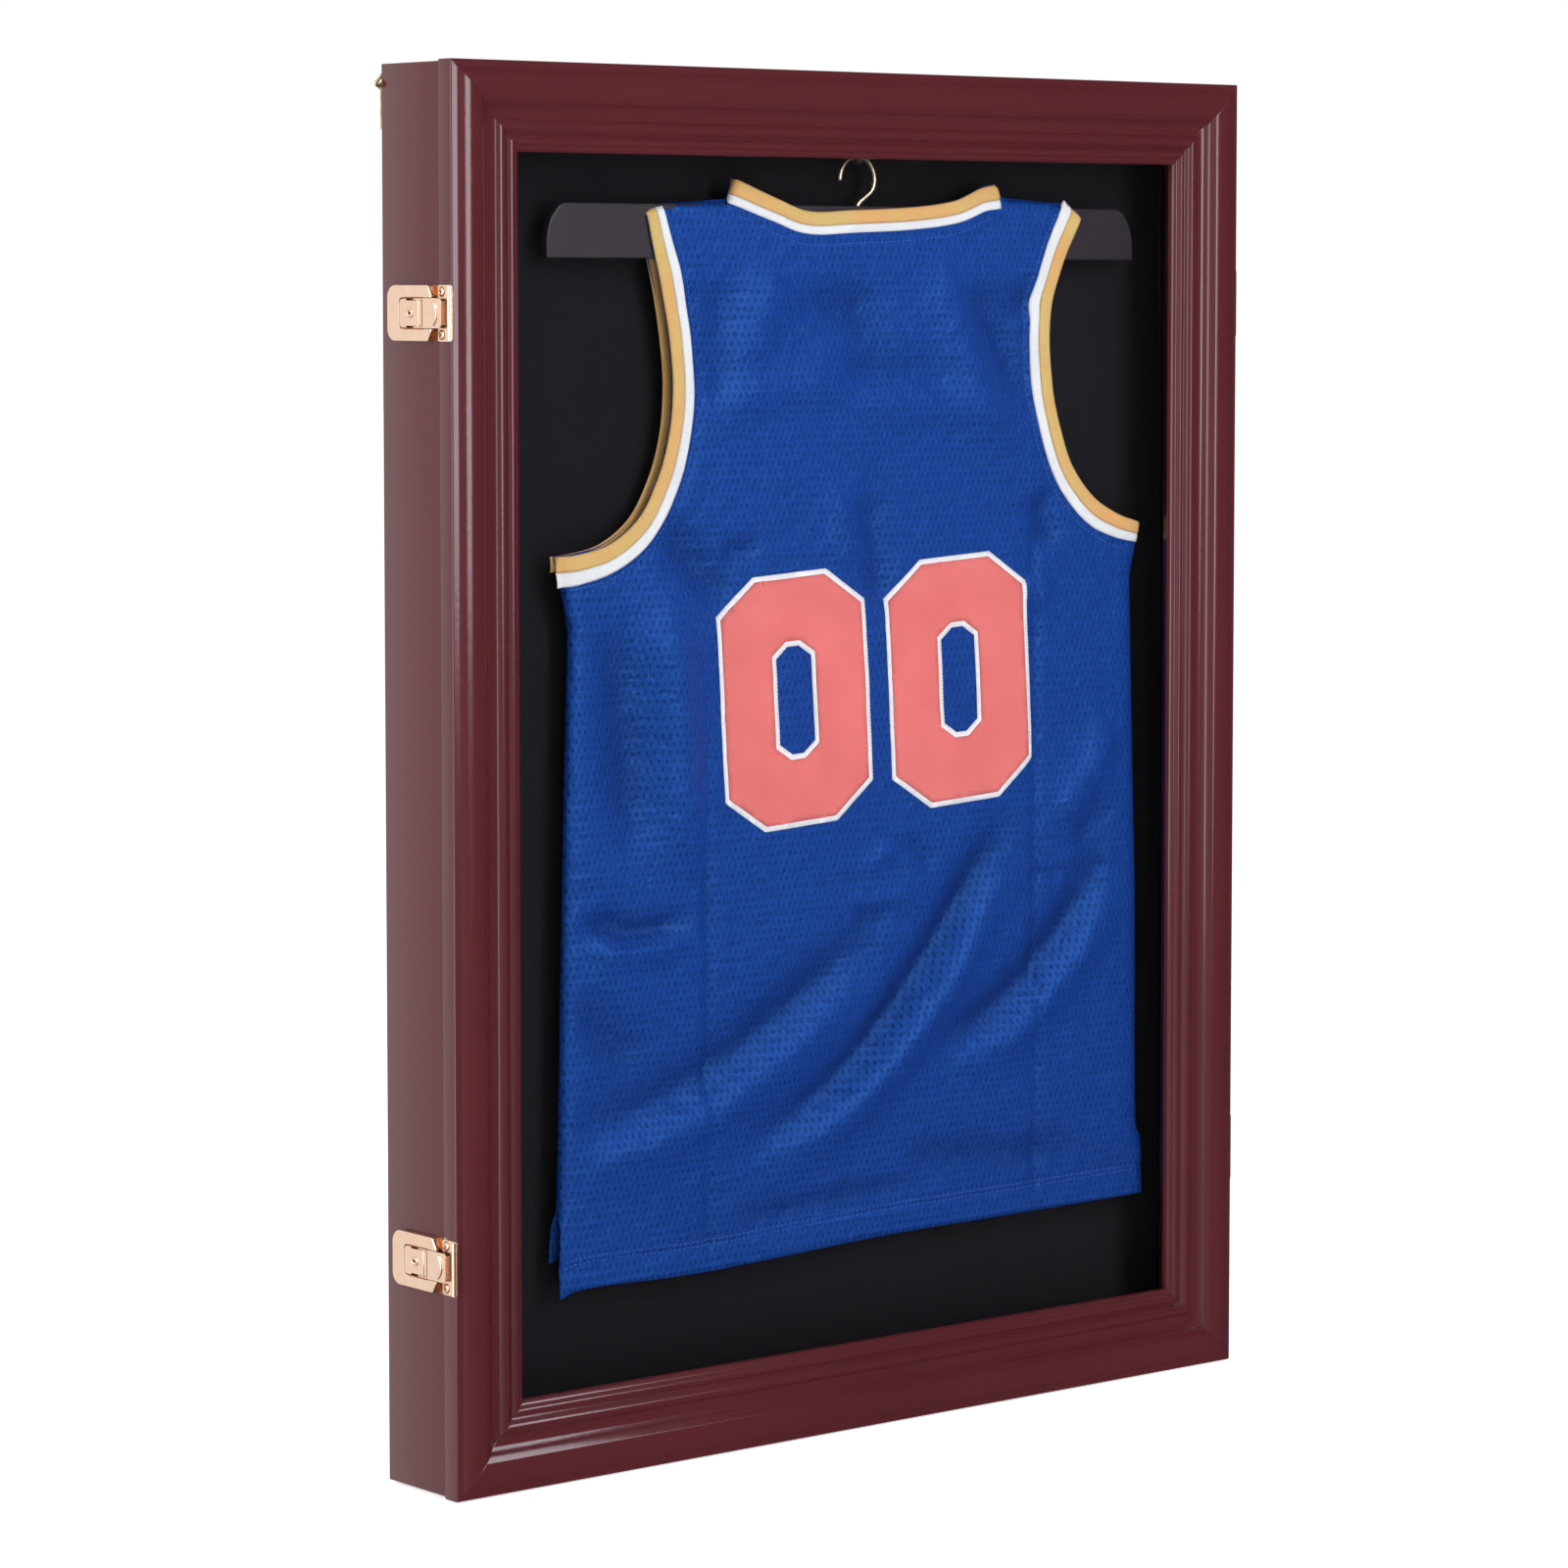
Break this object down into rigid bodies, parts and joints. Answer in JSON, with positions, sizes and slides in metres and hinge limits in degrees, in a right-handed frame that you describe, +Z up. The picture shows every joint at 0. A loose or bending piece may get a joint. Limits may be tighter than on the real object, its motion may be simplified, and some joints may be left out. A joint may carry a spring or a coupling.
{
  "type": "jersey display frame",
  "caption": "Hinged, glazed wall case in dark gloss moulding that shows a sports jersey on a hanger before black felt, closed by draw latches on one side.",
  "frame": {"origin": "middle of the case's back plane, where it lies against the wall", "axes": "+X to the right of a viewer facing the door, +Y back into the wall, +Z up"},
  "size_m": [0.6085, 0.074, 0.8],
  "materials": {
    "painted_wood": "high-gloss dark cherry lacquer",
    "black_felt": "short black felt",
    "raw_board": "raw pressed board",
    "clear_acrylic": "clear polished",
    "jersey_mesh": "knitted sports mesh",
    "smoked_plastic": "smoked satin",
    "hook_brass": "bright plated wire",
    "steel": "bright drawn",
    "aged_brass": "brass-plated steel",
    "hinge_brass": "brass-plated steel",
    "latch_gold": "rose-gold plate, polished"
  },
  "bodies": {
    "case": {"case_left_board": "painted_wood", "case_right_board": "painted_wood", "case_top_board": "painted_wood", "case_bottom_board": "painted_wood", "case_corner_nails": "steel", "back_panel": "raw_board", "back_panel_screws": "aged_brass", "felt_backing": "black_felt", "felt_liner_left": "black_felt", "felt_liner_right": "black_felt", "felt_liner_top": "black_felt", "felt_liner_bottom": "black_felt", "cup_hook": "hook_brass", "left_hanging_strap": "aged_brass", "right_hanging_strap": "aged_brass", "strap_screws": "aged_brass", "upper_hinge_case_leaf": "hinge_brass", "lower_hinge_case_leaf": "hinge_brass", "hinge_case_screws": "hinge_brass", "upper_hinge_pin": "hinge_brass", "lower_hinge_pin": "hinge_brass", "upper_latch_base": "latch_gold", "lower_latch_base": "latch_gold", "upper_latch_cover": "latch_gold", "lower_latch_cover": "latch_gold", "upper_latch_pivots": "latch_gold", "lower_latch_pivots": "latch_gold", "latch_base_screws": "latch_gold"},
    "door": {"door_left_stile": "painted_wood", "door_right_stile": "painted_wood", "door_top_rail": "painted_wood", "door_bottom_rail": "painted_wood", "door_corner_nails": "steel", "acrylic_panel": "clear_acrylic", "glazing_bead_left": "painted_wood", "glazing_bead_right": "painted_wood", "glazing_bead_top": "painted_wood", "glazing_bead_bottom": "painted_wood", "upper_hinge_door_leaf": "hinge_brass", "lower_hinge_door_leaf": "hinge_brass", "hinge_door_screws": "hinge_brass", "upper_latch_keeper": "latch_gold", "lower_latch_keeper": "latch_gold", "keeper_screws": "latch_gold"},
    "upper_lever": {"upper_latch_lever": "latch_gold", "upper_link_pin": "latch_gold"},
    "lower_lever": {"lower_latch_lever": "latch_gold", "lower_link_pin": "latch_gold"},
    "upper_hook": {"upper_latch_hook": "latch_gold"},
    "lower_hook": {"lower_latch_hook": "latch_gold"},
    "upper_lock": {"upper_lock_cylinder": "latch_gold"},
    "lower_lock": {"lower_lock_cylinder": "latch_gold"},
    "left_ring": {"left_hanging_ring": "aged_brass"},
    "right_ring": {"right_hanging_ring": "aged_brass"},
    "hook_wire": {"hanger_hook": "hook_brass"},
    "hanger": {"hanger_bar": "smoked_plastic", "hanger_ferrule": "hook_brass", "jersey": "jersey_mesh"}
  },
  "joints": [
    {"name": "door_hinge", "type": "hinge", "parent": "case", "child": "door", "pos_m": [0.3022, -0.05525, 0], "axis": [0, 0, 1], "range_deg": [0, 170]},
    {"name": "upper_lever_pivot", "type": "hinge", "parent": "case", "child": "upper_lever", "pos_m": [-0.302, -0.0445, 0.261], "axis": [0, 0, 1], "range_deg": [0, 130]},
    {"name": "upper_hook_pivot", "type": "hinge", "parent": "upper_lever", "child": "upper_hook", "pos_m": [-0.302, -0.038, 0.261], "axis": [0, 0, 1], "range_deg": [-130, 0]},
    {"name": "upper_lock_turn", "type": "hinge", "parent": "upper_lever", "child": "upper_lock", "pos_m": [-0.3035, -0.0338, 0.261], "axis": [-1, 0, 0], "range_deg": [0, 90]},
    {"name": "lower_lever_pivot", "type": "hinge", "parent": "case", "child": "lower_lever", "pos_m": [-0.302, -0.0445, -0.2685], "axis": [0, 0, 1], "range_deg": [0, 130]},
    {"name": "lower_hook_pivot", "type": "hinge", "parent": "lower_lever", "child": "lower_hook", "pos_m": [-0.302, -0.038, -0.2685], "axis": [0, 0, 1], "range_deg": [-130, 0]},
    {"name": "lower_lock_turn", "type": "hinge", "parent": "lower_lever", "child": "lower_lock", "pos_m": [-0.3035, -0.0338, -0.2685], "axis": [-1, 0, 0], "range_deg": [0, 90]},
    {"name": "left_ring_pivot", "type": "hinge", "parent": "case", "child": "left_ring", "pos_m": [-0.292, 0.002, 0.387], "axis": [-1, 0, 0], "range_deg": [0, 140]},
    {"name": "right_ring_pivot", "type": "hinge", "parent": "case", "child": "right_ring", "pos_m": [0.292, 0.002, 0.387], "axis": [-1, 0, 0], "range_deg": [0, 140]},
    {"name": "hanger_swing", "type": "hinge", "parent": "case", "child": "hook_wire", "pos_m": [0.018, -0.035, 0.3388], "axis": [0, 1, 0], "range_deg": [-2, 2]},
    {"name": "hanger_swivel", "type": "hinge", "parent": "hook_wire", "child": "hanger", "pos_m": [0.018, -0.035, 0.314], "axis": [0, 0, 1], "range_deg": [-1.5, 1.5]}
  ],
  "couplings": [
    {"joint": "upper_hook_pivot", "follows": "upper_lever_pivot", "ratio": -1},
    {"joint": "lower_hook_pivot", "follows": "lower_lever_pivot", "ratio": -1}
  ]
}
